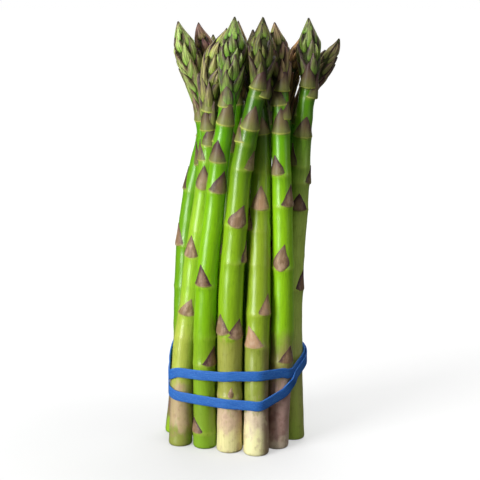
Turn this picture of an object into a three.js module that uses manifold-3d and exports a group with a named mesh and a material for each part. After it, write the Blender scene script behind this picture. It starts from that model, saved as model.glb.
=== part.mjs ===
// A bundle of green asparagus: fourteen cut spears standing on their butts, held by a band wound twice.
// Millimetres, +Z up, the cut ends on the plane z = 0 and the bundle's middle on the Z axis.
// Seen from -Y, the front of the bundle, +X is to the right.
import * as THREE from "three";
import Module from "manifold-3d";

const wasm = await Module();
wasm.setup();

// The stem and the head of a spear
const HEAD_LENGTH = 38;
const STEM_SIDES = 8;
const HEAD_SIDES = 6;
const STEM_RINGS = [0, 12, 45, 85, 120, 150];
const CORE_RINGS = [0, 0.4, 0.7, 0.92];
const JOIN = 2;

// Radius along a stem, as shares of its girth, and along a head, as shares of its own largest radius.
const STEM_SHARES = [0, 0.03, 0.12, 0.42, 0.7, 0.85, 1];
const STEM_RADII = [1.1, 1.07, 1.02, 1, 0.88, 0.8, 0.68];
const HEAD_SHARES = [0, 0.2, 0.45, 0.65, 0.85, 1];
const CORE_RADII = [0.66, 0.74, 0.84, 0.8, 0.5, 0.08];
const COVER_RADII = [0.8, 1.02, 1.12, 1.08, 0.8, 0.3];

// A stem's scale. Its outline runs round from the left: across, up and how far it stands off, all as shares.
const SCALE_WIDTH = 9.5;
const SCALE_LIFT = 0.9;
const SCALE_ROOT = 2.4;
const SCALE_OUTLINE = [
  [-1, 0, 0.3], [0, -0.08, 1], [1, 0, 0.3], [0.66, 0.45, 0.3], [0, 1, 0.3], [-0.66, 0.45, 0.3],
];
const SCALE_CROWN = [0, 0.42, 1];
const SCALE_SPACINGS = [26, 10];
const SCALE_LENGTHS = [10, 12];
const LOWEST_SCALE = 10;
const GOLDEN_ANGLE = 137.5;

// How a scale finds room between the neighbours: the turns it may take, in degrees, and the gaps it keeps.
const SHOWN_TURNS = [0, 8, 16, 24, 32, 40];
const HIDDEN_TURNS = [0, 20, -20, 40, -40, 60, -60];
const HIDDEN_FROM = 70;
const FREE_MARGIN = 0.6;
const CROWDED = 0.55;

// A head's bracts, the lowest and the highest: length, and width and lift as shares of the head's radius.
const BRACTS = 13;
const BRACT_START = -0.06;
const BRACT_SPAN = 0.835;
const BRACT_CROWDING = 1.15;
const BRACT_LENGTHS = [14, 7];
const BRACT_WIDTHS = [1.35, 0.62];
const BRACT_LIFTS = [0.3, 0.2];
const BRACT_OUTLINE = [
  [0, 0, 0.35], [1, 0.3, 0.3], [0.72, 0.66, 0.3], [0, 1, 0.45], [-0.72, 0.66, 0.3], [-1, 0.3, 0.3],
];
const BRACT_CROWN = [0, 0.38, 1];
const BRACT_ROOT = 1.6;
const LEAST_RADIUS = 1.6;
const ROOT_PLACE = 0.42;

// How the spears lean on each other
const LEVEL_STEP = 7.5;
const LEVELS = 31;
const CLEARANCE = 0.8;
const SETTLE_ROUNDS = 260;
const SETTLE_STEP = 0.45;
const SETTLE_SMOOTHING = 0.2;
const FLAT_FOOT = 12;
const SHOULDER = 130;

// The rubber band
const BAND_WIDTH = 5.2;
const BAND_THICKNESS = 0.9;
const BAND_GAP = 0.35;
const BAND_LAYER = 1.1;
const BAND_STEP = 8;
const BAND_TURNS = 720;
const BAND_ZONE = [22, 58];

// The middle of the bundle's outline in the drawing's own x and y, which becomes the Z axis.
const MIDDLE = [5.5, 4.9];

// Heights at which each spear's centre line is given. The last x belongs to the tip.
const STATIONS = [0, 50, 75, 100, 125, 150, 165, 180, 195];

// Each spear from left to right. x: its centre line at the stations and the tip. tip: the height of the tip.
// y: its depth at the foot, at the shoulder and at the tip. girth: stem radius. head: head radius.
// ease: how far it gives way where neighbours meet, small for one whose place is seen from the front.
// scales: [height, turn from the front in degrees, length] of those that show.
// turn: that of its lowest hidden scale.
const SPEARS = [
  { x: [-34.5, -30.2, -29.6, -28.6, -26.0, -21.1, -17.2, -15.6, -15.4, -22.0], tip: 221,
    y: [16, 19, 14], girth: 5.9, head: 5.6, ease: 0.1, turn: 150,
    scales: [[138, -18, 12], [104, -65, 11]] },
  { x: [-31.6, -29.6, -26.0, -23.4, -19.8, -16.5, -15.6, -15.7, -15.0, -6.6], tip: 219,
    y: [-4, 1, 1], girth: 5.9, head: 5.6, ease: 0.05, turn: 120,
    scales: [
      [168, -28, 11], [160, 15, 11], [152, -80, 11], [178, 15, 12],
      [138, -19, 12], [102, -33, 11], [71, 15, 9],
    ] },
  { x: [-21.0, -20.5, -20.0, -19.5, -18.6, -17.8, -17.6, -19.4, -23.4, -31.1], tip: 222,
    y: [12, 10, 4], girth: 5.8, head: 5.6, ease: 0.1, turn: 40,
    scales: [[172, -35, 11]] },
  { x: [-18.6, -18.7, -18.0, -16.5, -13.6, -11.0, -8.6, -6.4, -4.5, -2.8], tip: 225,
    y: [-6, -8, -7], girth: 5.9, head: 6.2, ease: 0.05, turn: 200,
    scales: [
      [172, 2, 13], [181, -50, 10], [153, -28, 11], [138, 24, 11],
      [89, -25, 11], [46.5, 50, 10], [9, -53, 8],
    ] },
  { x: [-7.0, -6.6, -6.2, -5.8, -5.4, -4.6, -2.6, -1.0, -0.3, 0.0], tip: 222,
    y: [3, 6, 9], girth: 5.6, head: 5.5, ease: 0.4, turn: 90,
    scales: [[156, -4, 10], [180, -10, 12]] },
  { x: [-5.5, -5.2, -5.0, -3.8, -1.6, 0.8, 3.8, 6.9, 10.0, 11.5], tip: 225,
    y: [-12, -12, -11], girth: 6.5, head: 5.9, ease: 0.05, turn: 250,
    scales: [[170, 0, 12], [150, 65, 10], [121, 4, 11], [64.5, -52, 10], [62.5, 33, 10]] },
  { x: [8.4, 8.8, 9.6, 10.2, 10.6, 11.4, 11.3, 9.7, 7.6, 6.6], tip: 218,
    y: [-16.5, -6.5, 5], girth: 6.3, head: 4.8, ease: 0.05, turn: 10,
    scales: [[166, 0, 9], [128, 0, 12], [74, 40, 11], [57, -24, 11]] },
  { x: [19.2, 21.6, 21.8, 21.7, 21.3, 20.6, 20.3, 20.2, 20.2, 16.8], tip: 222,
    y: [-7, -7, -5], girth: 5.9, head: 5.3, ease: 0.05, turn: 300,
    scales: [
      [167, 0, 13], [174, 60, 9], [146, -52, 10], [130, 49, 11],
      [97.5, -13, 13], [47.5, 31, 9], [72, -85, 9],
    ] },
  { x: [13.5, 15.5, 17.0, 18.6, 20.4, 22.0, 22.8, 23.8, 26.0, 32.0], tip: 214,
    y: [7, 8, 10], girth: 5.7, head: 4.4, ease: 0.3, turn: 170, scales: [] },
  { x: [28.2, 27.0, 26.8, 27.8, 29.8, 31.2, 32.0, 33.4, 35.2, 34.4], tip: 224,
    y: [8, 6, 2], girth: 6.0, head: 5.5, ease: 0.05, turn: 60,
    scales: [[164, 5, 11], [140, 78, 9], [126, 0, 9], [83.5, 55, 11]] },
  { x: [20.0, 21.5, 22.6, 24.0, 25.6, 27.0, 28.2, 31.6, 40.4, 51.4], tip: 213,
    y: [20, 17, 10], girth: 5.8, head: 4.6, ease: 0.3, turn: 220, scales: [] },
  { x: [-10.5, -11.0, -11.4, -11.8, -12.2, -12.8, -13.2, -13.6, -14.0, -15.5], tip: 214,
    y: [22, 23, 25], girth: 5.9, head: 5.4, ease: 1, turn: 0, scales: [] },
  { x: [3.5, 3.4, 3.4, 3.4, 3.2, 2.6, 1.6, 0.6, -0.4, -1.0], tip: 213,
    y: [19, 20, 21], girth: 5.9, head: 5.4, ease: 1, turn: 100, scales: [] },
  { x: [5.5, 6.8, 7.8, 9.2, 11.4, 14.4, 15.4, 15.6, 15.2, 15.0], tip: 212,
    y: [-2, 5, 12], girth: 5.6, head: 5.2, ease: 1, turn: 200, scales: [] },
];

const STEM_COLOUR = 0x7fb32d;
const BAND_COLOUR = 0x2a6fc9;

const radians = THREE.MathUtils.degToRad;
const degrees = THREE.MathUtils.radToDeg;
const lerp = THREE.MathUtils.lerp;
const clamp = THREE.MathUtils.clamp;

// Straight-line value of a table at x.
function tableAt(places, values, x) {
  let k = 1;
  while (k < places.length - 1 && x > places[k]) k += 1;
  const share = clamp((x - places[k - 1]) / (places[k] - places[k - 1]), 0, 1);
  return values[k - 1] + share * (values[k] - values[k - 1]);
}

// Smooth value of a table at x: a cubic on each stretch, its slope at each place taken across the neighbours.
function curveAt(places, values, x) {
  const last = places.length - 1;
  let k = 1;
  while (k < last && x > places[k]) k += 1;
  const slope = (i) => {
    const a = Math.max(i - 1, 0);
    const b = Math.min(i + 1, last);
    return (values[b] - values[a]) / (places[b] - places[a]);
  };
  const width = places[k] - places[k - 1];
  const t = clamp((x - places[k - 1]) / width, 0, 1);
  return (
    values[k - 1] * (1 + 2 * t) * (1 - t) ** 2 +
    values[k] * t * t * (3 - 2 * t) +
    slope(k - 1) * width * t * (1 - t) ** 2 +
    slope(k) * width * t * t * (t - 1)
  );
}

// A spear's radius at a height without its scales and bracts, and with them.
function coreRadius(spear, z) {
  const neck = spear.tip - HEAD_LENGTH;
  if (z <= neck) return spear.girth * tableAt(STEM_SHARES, STEM_RADII, z / neck);
  const share = (z - neck) / HEAD_LENGTH;
  const blend = clamp(share / HEAD_SHARES[1], 0, 1);
  const neckRadius = spear.girth * STEM_RADII[STEM_RADII.length - 1];
  return neckRadius * (1 - blend) + spear.head * tableAt(HEAD_SHARES, CORE_RADII, share) * blend;
}

function coverRadius(spear, z) {
  const share = (z - spear.tip + HEAD_LENGTH) / HEAD_LENGTH;
  if (share < 0) return coreRadius(spear, z);
  return Math.max(coreRadius(spear, z), spear.head * tableAt(HEAD_SHARES, COVER_RADII, share));
}

// The centre lines as drawn, then eased apart, level by level, until no two spears press into each other.
const levelHeights = Array.from({ length: LEVELS }, (_, k) => k * LEVEL_STEP);

function drawnLine(spear) {
  const heights = [...STATIONS, spear.tip];
  const depthHeights = [0, SHOULDER, spear.tip];
  return levelHeights.map((z) => [
    curveAt(heights, spear.x, Math.min(z, spear.tip)),
    curveAt(depthHeights, spear.y, Math.min(z, spear.tip)),
  ]);
}

function shiftedLines(lines, shifts) {
  return lines.map((line, i) => line.map(([x, y], k) => [x + shifts[i][k][0], y + shifts[i][k][1]]));
}

function settle(drawn) {
  const reach = SPEARS.map((spear) => levelHeights.map((z) => (z <= spear.tip ? coverRadius(spear, z) : -1)));
  let shifts = drawn.map((line) => line.map(() => [0, 0]));
  for (let round = 0; round < SETTLE_ROUNDS; round += 1) {
    const lines = shiftedLines(drawn, shifts);
    const moves = drawn.map((line) => line.map(() => [0, 0]));
    for (let k = 0; k < LEVELS; k += 1)
      for (let i = 0; i < lines.length; i += 1)
        for (let j = i + 1; j < lines.length; j += 1) {
          if (reach[i][k] < 0 || reach[j][k] < 0) continue;
          const dx = lines[i][k][0] - lines[j][k][0];
          const dy = lines[i][k][1] - lines[j][k][1];
          const distance = Math.hypot(dx, dy);
          const overlap = reach[i][k] + reach[j][k] + CLEARANCE - distance;
          if (overlap <= 0) continue;
          const push = (SETTLE_STEP * overlap) / distance;
          moves[i][k][0] += push * dx * SPEARS[i].ease;
          moves[i][k][1] += push * dy;
          moves[j][k][0] -= push * dx * SPEARS[j].ease;
          moves[j][k][1] -= push * dy;
        }
    const before = (line, k) => line[Math.max(k - 1, 0)];
    const after = (line, k) => line[Math.min(k + 1, LEVELS - 1)];
    const smoothed = (line, k, axis) =>
      line[k][axis] + SETTLE_SMOOTHING * (before(line, k)[axis] + after(line, k)[axis] - 2 * line[k][axis]);
    shifts = shifts.map((line, i) =>
      line.map((_, k) => [0, 1].map((axis) => smoothed(line, k, axis) + moves[i][k][axis])),
    );
  }
  return shiftedLines(drawn, shifts);
}

const settled = settle(SPEARS.map(drawnLine));
SPEARS.forEach((spear, i) => {
  spear.lineX = settled[i].map((point) => point[0] - MIDDLE[0]);
  spear.lineY = settled[i].map((point) => point[1] - MIDDLE[1]);
});

function centreAt(spear, z) {
  return new THREE.Vector3(curveAt(levelHeights, spear.lineX, z), curveAt(levelHeights, spear.lineY, z), z);
}

// A point of a spear, from its height, its turn from the front in degrees (positive to the right) and its
// distance from the centre line. The foot's rings are level, so that the cut end is flat. Above the tip the
// line goes straight on.
function spearPoint(spear, z, turn, radius) {
  const held = Math.min(z, spear.tip);
  const along = centreAt(spear, Math.min(held + 1, spear.tip)).sub(centreAt(spear, Math.max(held - 1, 0)));
  const axis = new THREE.Vector3(0, 0, 1).lerp(along.normalize(), clamp(z / FLAT_FOOT, 0, 1)).normalize();
  const right = new THREE.Vector3(1, 0, 0).addScaledVector(axis, -axis.x).normalize();
  const back = new THREE.Vector3().crossVectors(axis, right);
  return centreAt(spear, held)
    .addScaledVector(axis, z - held)
    .addScaledVector(right, radius * Math.sin(radians(turn)))
    .addScaledVector(back, -radius * Math.cos(radians(turn)));
}

// A closed solid from points and triangles that share them.
function solidOf(points, triangles) {
  const vertProperties = new Float32Array(points.flatMap((p) => [p.x, p.y, p.z]));
  const triVerts = new Uint32Array(triangles.flat());
  return new wasm.Manifold(new wasm.Mesh({ numProp: 3, vertProperties, triVerts }));
}

// A closed tube through rings of points from the foot up, with the middles of both ends closed.
function tubeOf(rings, bottom, top) {
  const sides = rings[0].length;
  const points = [...rings.flat(), bottom, top];
  const foot = points.length - 2;
  const crown = points.length - 1;
  const lastRing = (rings.length - 1) * sides;
  const triangles = [];
  for (let j = 0; j < sides; j += 1) {
    const next = (j + 1) % sides;
    triangles.push([foot, next, j], [crown, lastRing + j, lastRing + next]);
    for (let a = 0; a < lastRing; a += sides) {
      const b = a + sides;
      triangles.push([a + j, a + next, b + next], [a + j, b + next, b + j]);
    }
  }
  return solidOf(points, triangles);
}

function ringOf(spear, z, sides) {
  const radius = coreRadius(spear, z);
  return Array.from({ length: sides }, (_, j) => spearPoint(spear, z, (360 * j) / sides, radius));
}

// The smooth body of a spear: the stem with its flat cut end, and the slim core of its head.
function stemOf(spear) {
  const neck = spear.tip - HEAD_LENGTH;
  const rings = [...STEM_RINGS, neck + JOIN].map((z) => ringOf(spear, z, STEM_SIDES));
  return tubeOf(rings, centreAt(spear, 0), centreAt(spear, neck + 1.5 * JOIN));
}

function coreOf(spear) {
  const foot = spear.tip - HEAD_LENGTH - JOIN / 2;
  const rings = CORE_RINGS.map((share) => ringOf(spear, lerp(foot, spear.tip, share), HEAD_SIDES));
  return tubeOf(rings, centreAt(spear, foot - JOIN / 2), centreAt(spear, spear.tip));
}

// A closed leaf: faces from its rim to the raised middle in front, and to the sunk root behind.
function leafOf(place, outline, crown, root) {
  const count = outline.length;
  const points = [...outline, crown].map((spot) => place(...spot));
  const rim = outline.map((_, k) => k);
  const front = rim.map((k) => [k, (k + 1) % count, count]);
  const behind = rim.map((k) => [(k + 1) % count, k, count + 1]);
  return solidOf([...points, root], [...front, ...behind]);
}

// A stem's scale: a pressed-on leaf with a straight base, which stands proud as a ledge, and a pointed top.
function scaleOf(spear, z, turn, length) {
  const half = degrees(SCALE_WIDTH / 2 / coreRadius(spear, z));
  const place = (across, up, lift) => {
    const height = z + up * length;
    return spearPoint(spear, height, turn + across * half, coreRadius(spear, height) + lift * SCALE_LIFT);
  };
  const root = z + ROOT_PLACE * length;
  const rootPoint = spearPoint(spear, root, turn, coreRadius(spear, root) - SCALE_ROOT);
  return leafOf(place, SCALE_OUTLINE, SCALE_CROWN, rootPoint);
}

// A head's bract: a fat bud with its lower end rounded to a blunt point and its tip standing off a little.
function bractOf(spear, share, turn) {
  const z = spear.tip - HEAD_LENGTH + share * HEAD_LENGTH;
  const length = lerp(...BRACT_LENGTHS, share);
  const width = spear.head * lerp(...BRACT_WIDTHS, share);
  const lift = spear.head * lerp(...BRACT_LIFTS, share);
  const place = (across, up, out) => {
    const height = z + up * length;
    const radius = coreRadius(spear, Math.min(height, spear.tip)) + out * lift;
    const half = degrees(width / 2 / Math.max(radius, LEAST_RADIUS));
    return spearPoint(spear, height, turn + across * half, radius);
  };
  const root = z + ROOT_PLACE * length;
  const rootPoint = spearPoint(spear, root, turn, Math.max(coreRadius(spear, root) - BRACT_ROOT, 0));
  return leafOf(place, BRACT_OUTLINE, BRACT_CROWN, rootPoint);
}

// True where a scale standing at this place stays clear of every other spear.
function isFree(spear, z, turn, length) {
  const half = degrees(SCALE_WIDTH / 2 / coreRadius(spear, z));
  return [-1, -0.5, 0, 0.5, 1].every((across) =>
    [0, 0.5].every((up) => {
      const lift = Math.abs(across) === 1 ? 0.3 * SCALE_LIFT : SCALE_LIFT;
      const height = z + up * length;
      const point = spearPoint(spear, height, turn + across * half, coreRadius(spear, height) + lift);
      return SPEARS.every((other) => {
        if (other === spear || height > other.tip) return true;
        return point.distanceTo(centreAt(other, point.z)) > coverRadius(other, height) + FREE_MARGIN;
      });
    }),
  );
}

// The scales of a spear: those that show, turned towards the front until they are free, then the hidden ones,
// which follow the golden angle up the stem wherever no shown scale, band or neighbour is in the way.
function scalesOf(spear) {
  const placed = [];
  spear.scales.forEach(([z, turn, length]) => {
    const turns = SHOWN_TURNS.map((back) => turn - Math.sign(turn) * back);
    const free = turns.find((t) => isFree(spear, z, t, length));
    if (free !== undefined) placed.push([z, free, length]);
  });
  const neck = spear.tip - HEAD_LENGTH;
  const hiddenFrom = spear.scales.length > 0 ? HIDDEN_FROM : 0;
  let z = LOWEST_SCALE + (spear.turn % 7);
  for (let k = 0; z < neck - JOIN; k += 1) {
    const height = z;
    const spacing = lerp(...SCALE_SPACINGS, height / neck);
    const length = lerp(...SCALE_LENGTHS, height / neck);
    const turn = ((spear.turn + k * GOLDEN_ANGLE + 180) % 360) - 180;
    const isHidden = (t) => Math.abs(((t + 540) % 360) - 180) >= hiddenFrom;
    const spot = HIDDEN_TURNS.map((step) => turn + step)
      .find((t) => isHidden(t) && isFree(spear, height, t, length));
    const inBand = height + length > BAND_ZONE[0] && height < BAND_ZONE[1];
    const crowded = placed.some(([other]) => Math.abs(other - height) < CROWDED * spacing);
    if (!inBand && !crowded && spot !== undefined) placed.push([height, spot, length]);
    z += spacing;
  }
  return placed;
}

// One spear as one solid: stem, scales and head joined. Only its outer surface is kept, so a pocket that the
// bracts close in is filled.
function spearOf(spear) {
  let solid = stemOf(spear).add(coreOf(spear));
  scalesOf(spear).forEach(([z, turn, length]) => {
    solid = solid.add(scaleOf(spear, z, turn, length));
  });
  for (let k = 0; k < BRACTS; k += 1) {
    const share = BRACT_START + BRACT_SPAN * (k / (BRACTS - 1)) ** BRACT_CROWDING;
    solid = solid.add(bractOf(spear, share, spear.turn + k * GOLDEN_ANGLE));
  }
  return solid.decompose().reduce((whole, part) => (part.volume() > whole.volume() ? part : whole));
}

// The band's route over two turns: [angle from the front towards the right, height, layers out].
const BAND_ROUTE = [
  [0, 42.6, 0], [32, 42.4, 0], [40, 40.6, 0], [62, 41, 0], [70, 45.2, 0], [90, 47.5, 0], [135, 50, 0],
  [180, 45, 0], [225, 41, 0], [270, 31.5, 0], [315, 28.8, 0], [350, 27, 0], [392, 27.2, 0], [400, 32.2, 0],
  [410, 34.4, 0.4], [422, 37.8, 1], [430, 43, 1], [450, 46, 1], [495, 51.5, 1], [540, 51.5, 1], [570, 50, 0],
  [600, 44.5, 0], [630, 37.6, 0], [675, 40, 0], [720, 42.6, 0],
];
const ROUTE_ANGLES = BAND_ROUTE.map((stop) => stop[0]);
const ROUTE_HEIGHTS = BAND_ROUTE.map((stop) => stop[1]);
const ROUTE_LAYERS = BAND_ROUTE.map((stop) => stop[2]);

// The band lies on the outermost stems and runs straight between them. In each direction round the bundle it
// touches the stem that reaches furthest that way.
function bandPoint(angle) {
  const height = curveAt(ROUTE_ANGLES, ROUTE_HEIGHTS, angle);
  const layer = tableAt(ROUTE_ANGLES, ROUTE_LAYERS, angle);
  const outward = new THREE.Vector3(Math.sin(radians(angle)), -Math.cos(radians(angle)), 0);
  let best;
  SPEARS.forEach((spear) =>
    [-0.5, 0, 0.5].forEach((edge) => {
      const z = height + edge * BAND_WIDTH;
      const centre = centreAt(spear, z);
      const radius = coreRadius(spear, z);
      const reach = centre.dot(outward) + radius;
      if (!best || reach > best.reach) best = { reach, centre, radius };
    }),
  );
  const inner = best.centre.clone().addScaledVector(outward, best.radius + BAND_GAP + layer * BAND_LAYER);
  inner.z = height;
  return { inner, outward };
}

function bandOf() {
  const angles = Array.from({ length: BAND_TURNS / BAND_STEP }, (_, k) => k * BAND_STEP);
  const stops = angles.map(bandPoint);
  const points = stops.flatMap(({ inner, outward }, k) => {
    const ahead = stops[(k + 1) % stops.length].inner;
    const behind = stops[(k + stops.length - 1) % stops.length].inner;
    const along = ahead.clone().sub(behind).normalize();
    const up = new THREE.Vector3().crossVectors(outward, along).normalize();
    const corner = (side, out) =>
      inner.clone().addScaledVector(up, (side * BAND_WIDTH) / 2).addScaledVector(outward, out);
    return [corner(-1, 0), corner(-1, BAND_THICKNESS), corner(1, BAND_THICKNESS), corner(1, 0)];
  });
  const triangles = [];
  stops.forEach((_, k) => {
    const a = 4 * k;
    const b = 4 * ((k + 1) % stops.length);
    for (let c = 0; c < 4; c += 1) {
      const d = (c + 1) % 4;
      triangles.push([a + c, b + c, b + d], [a + c, b + d, a + d]);
    }
  });
  return solidOf(points, triangles);
}

function meshOf(name, solid, color, roughness) {
  const made = solid.getMesh();
  const geometry = new THREE.BufferGeometry();
  geometry.setAttribute("position", new THREE.BufferAttribute(made.vertProperties, 3));
  geometry.setIndex(new THREE.BufferAttribute(made.triVerts, 1));
  geometry.computeVertexNormals();
  const mesh = new THREE.Mesh(geometry, new THREE.MeshStandardMaterial({ color, roughness, metalness: 0 }));
  mesh.name = name;
  return mesh;
}

const bundle = new THREE.Group();
SPEARS.forEach((spear, i) => {
  bundle.add(meshOf(`spear_${String(i + 1).padStart(2, "0")}`, spearOf(spear), STEM_COLOUR, 0.4));
});
bundle.add(meshOf("rubber_band", bandOf(), BAND_COLOUR, 0.7));

export default bundle;
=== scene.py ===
# %% [markdown]
# # A bundle of green asparagus
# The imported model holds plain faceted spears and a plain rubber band. This lesson puts finer pieces in
# their places: each spear gets a round stem, leaf scales, a head of overlapping bracts and a skin of its
# own colours. Everything is measured in millimetres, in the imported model's own frame: Z up, -Y towards
# the camera.

# %% The fixed frame
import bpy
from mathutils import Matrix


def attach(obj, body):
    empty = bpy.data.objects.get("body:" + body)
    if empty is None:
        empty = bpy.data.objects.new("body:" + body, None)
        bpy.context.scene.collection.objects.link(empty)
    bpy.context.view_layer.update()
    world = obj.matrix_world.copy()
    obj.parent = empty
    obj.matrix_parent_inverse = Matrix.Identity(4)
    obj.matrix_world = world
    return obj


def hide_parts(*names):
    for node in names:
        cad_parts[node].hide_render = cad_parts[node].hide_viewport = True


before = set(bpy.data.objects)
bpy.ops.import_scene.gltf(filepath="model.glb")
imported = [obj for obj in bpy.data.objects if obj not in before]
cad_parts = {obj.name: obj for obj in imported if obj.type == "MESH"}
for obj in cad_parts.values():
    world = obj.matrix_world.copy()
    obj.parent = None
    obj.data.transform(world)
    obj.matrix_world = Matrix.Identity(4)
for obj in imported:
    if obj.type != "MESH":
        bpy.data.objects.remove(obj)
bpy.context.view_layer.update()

# %% [markdown]
# ## The spears' plan
# A spear is told by its centre line: how far it is to the side at a few heights, how deep it stands at
# its foot, shoulder and tip, how thick its stem and head are, and where its leaf scales sit. These are
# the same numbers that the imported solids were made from, so the finer pieces keep their form.

# %% The spears' plan
import math

import bpy
import numpy as np

MM = 0.001
HEAD_LENGTH = 38.0
STATIONS = [0, 50, 75, 100, 125, 150, 165, 180, 195]
SHOULDER = 130
MIDDLE = np.array([5.5, 4.9])
SPEARS = [
    {"x": [-34.5, -30.2, -29.6, -28.6, -26.0, -21.1, -17.2, -15.6, -15.4, -22.0], "tip": 221,
     "y": [16, 19, 14], "girth": 5.9, "head": 5.6, "ease": 0.1, "turn": 150,
     "scales": [[138, -18, 12], [104, -65, 11]]},
    {"x": [-31.6, -29.6, -26.0, -23.4, -19.8, -16.5, -15.6, -15.7, -15.0, -6.6], "tip": 219,
     "y": [-4, 1, 1], "girth": 5.9, "head": 5.6, "ease": 0.05, "turn": 120,
     "scales": [[168, -28, 11], [160, 15, 11], [152, -80, 11], [178, 15, 12],
                [138, -19, 12], [102, -33, 11], [71, 15, 9]]},
    {"x": [-21.0, -20.5, -20.0, -19.5, -18.6, -17.8, -17.6, -19.4, -23.4, -31.1], "tip": 222,
     "y": [12, 10, 4], "girth": 5.8, "head": 5.6, "ease": 0.1, "turn": 40,
     "scales": [[172, -35, 11]]},
    {"x": [-18.6, -18.7, -18.0, -16.5, -13.6, -11.0, -8.6, -6.4, -4.5, -2.8], "tip": 225,
     "y": [-6, -8, -7], "girth": 5.9, "head": 6.2, "ease": 0.05, "turn": 200,
     "scales": [[172, 2, 13], [181, -50, 10], [153, -28, 11], [138, 24, 11],
                [89, -25, 11], [46.5, 50, 10], [9, -53, 8]]},
    {"x": [-7.0, -6.6, -6.2, -5.8, -5.4, -4.6, -2.6, -1.0, -0.3, 0.0], "tip": 222,
     "y": [3, 6, 9], "girth": 5.6, "head": 5.5, "ease": 0.4, "turn": 90,
     "scales": [[156, -4, 10], [180, -10, 12]]},
    {"x": [-5.5, -5.2, -5.0, -3.8, -1.6, 0.8, 3.8, 6.9, 10.0, 11.5], "tip": 225,
     "y": [-12, -12, -11], "girth": 6.5, "head": 5.9, "ease": 0.05, "turn": 250,
     "scales": [[170, 0, 12], [150, 65, 10], [121, 4, 11], [64.5, -52, 10], [62.5, 33, 10]]},
    {"x": [8.4, 8.8, 9.6, 10.2, 10.6, 11.4, 11.3, 9.7, 7.6, 6.6], "tip": 218,
     "y": [-16.5, -6.5, 5], "girth": 6.3, "head": 4.8, "ease": 0.05, "turn": 10,
     "scales": [[166, 0, 9], [128, 0, 12], [74, 40, 11], [57, -24, 11]]},
    {"x": [19.2, 21.6, 21.8, 21.7, 21.3, 20.6, 20.3, 20.2, 20.2, 16.8], "tip": 222,
     "y": [-7, -7, -5], "girth": 5.9, "head": 5.3, "ease": 0.05, "turn": 300,
     "scales": [[167, 0, 13], [174, 60, 9], [146, -52, 10], [130, 49, 11],
                [97.5, -13, 13], [47.5, 31, 9], [72, -85, 9]]},
    {"x": [13.5, 15.5, 17.0, 18.6, 20.4, 22.0, 22.8, 23.8, 26.0, 32.0], "tip": 214,
     "y": [7, 8, 10], "girth": 5.7, "head": 4.4, "ease": 0.3, "turn": 170, "scales": []},
    {"x": [28.2, 27.0, 26.8, 27.8, 29.8, 31.2, 32.0, 33.4, 35.2, 34.4], "tip": 224,
     "y": [8, 6, 2], "girth": 6.0, "head": 5.5, "ease": 0.05, "turn": 60,
     "scales": [[164, 5, 11], [140, 78, 9], [126, 0, 9], [83.5, 55, 11]]},
    {"x": [20.0, 21.5, 22.6, 24.0, 25.6, 27.0, 28.2, 31.6, 40.4, 51.4], "tip": 213,
     "y": [20, 17, 10], "girth": 5.8, "head": 4.6, "ease": 0.3, "turn": 220, "scales": []},
    {"x": [-10.5, -11.0, -11.4, -11.8, -12.2, -12.8, -13.2, -13.6, -14.0, -15.5], "tip": 214,
     "y": [22, 23, 25], "girth": 5.9, "head": 5.4, "ease": 1, "turn": 0, "scales": []},
    {"x": [3.5, 3.4, 3.4, 3.4, 3.2, 2.6, 1.6, 0.6, -0.4, -1.0], "tip": 213,
     "y": [19, 20, 21], "girth": 5.9, "head": 5.4, "ease": 1, "turn": 100, "scales": []},
    {"x": [5.5, 6.8, 7.8, 9.2, 11.4, 14.4, 15.4, 15.6, 15.2, 15.0], "tip": 212,
     "y": [-2, 5, 12], "girth": 5.6, "head": 5.2, "ease": 1, "turn": 200, "scales": []},
]
print("spears:", len(SPEARS), "tallest:", max(spear["tip"] for spear in SPEARS), "mm")

# %% [markdown]
# ## Reading a table smoothly
# A stem's line and its thickness are given at a few heights only. Between them a cubic curve is used,
# because straight pieces would show as kinks on a glossy stem.

# %% Smooth tables and the radius of a spear
STEM_SHARES, STEM_RADII = [0, 0.03, 0.12, 0.42, 0.7, 0.85, 1], [1.1, 1.07, 1.02, 1, 0.88, 0.8, 0.68]
HEAD_SHARES, CORE_RADII = [0, 0.2, 0.45, 0.65, 0.85, 1], [0.66, 0.74, 0.84, 0.8, 0.5, 0.08]
COVER_RADII = [0.8, 1.02, 1.12, 1.08, 0.8, 0.3]


def line_at(places, values, x):
    """Straight-line value of a table at x."""
    return np.interp(x, places, values)


def smooth_at(places, values, x):
    """Smooth value of a table at x: a cubic on each stretch, its end slopes taken across the neighbours."""
    places, values, x = (np.asarray(a, float) for a in (places, values, x))
    last = len(places) - 1
    below, above = np.maximum(np.arange(last + 1) - 1, 0), np.minimum(np.arange(last + 1) + 1, last)
    slope = (values[above] - values[below]) / (places[above] - places[below])
    k = np.clip(np.searchsorted(places, x), 1, last)
    width = places[k] - places[k - 1]
    t = np.clip((x - places[k - 1]) / width, 0, 1)
    ends = values[k - 1] * (1 + 2 * t) * (1 - t) ** 2 + values[k] * t * t * (3 - 2 * t)
    return ends + width * (slope[k - 1] * t * (1 - t) ** 2 + slope[k] * t * t * (t - 1))


def core_radius(spear, z, read=smooth_at):
    """Radius without scales and bracts: the stem's share of its girth, blended into the head's core."""
    neck = spear["tip"] - HEAD_LENGTH
    share = (z - neck) / HEAD_LENGTH
    blend = np.clip(share / HEAD_SHARES[1], 0, 1)
    stem = spear["girth"] * read(STEM_SHARES, STEM_RADII, z / neck)
    return stem * (1 - blend) + spear["head"] * read(HEAD_SHARES, CORE_RADII, share) * blend


def cover_radius(spear, z):
    """Radius with the bracts on: that of the core, or of the head's cover where it reaches further."""
    share = (z - spear["tip"] + HEAD_LENGTH) / HEAD_LENGTH
    cover = spear["head"] * line_at(HEAD_SHARES, COVER_RADII, share)
    core = core_radius(spear, z, line_at)
    return np.where(share < 0, core, np.maximum(core, cover))


print("thickest stem:", 2 * max(spear["girth"] for spear in SPEARS), "mm")

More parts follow.
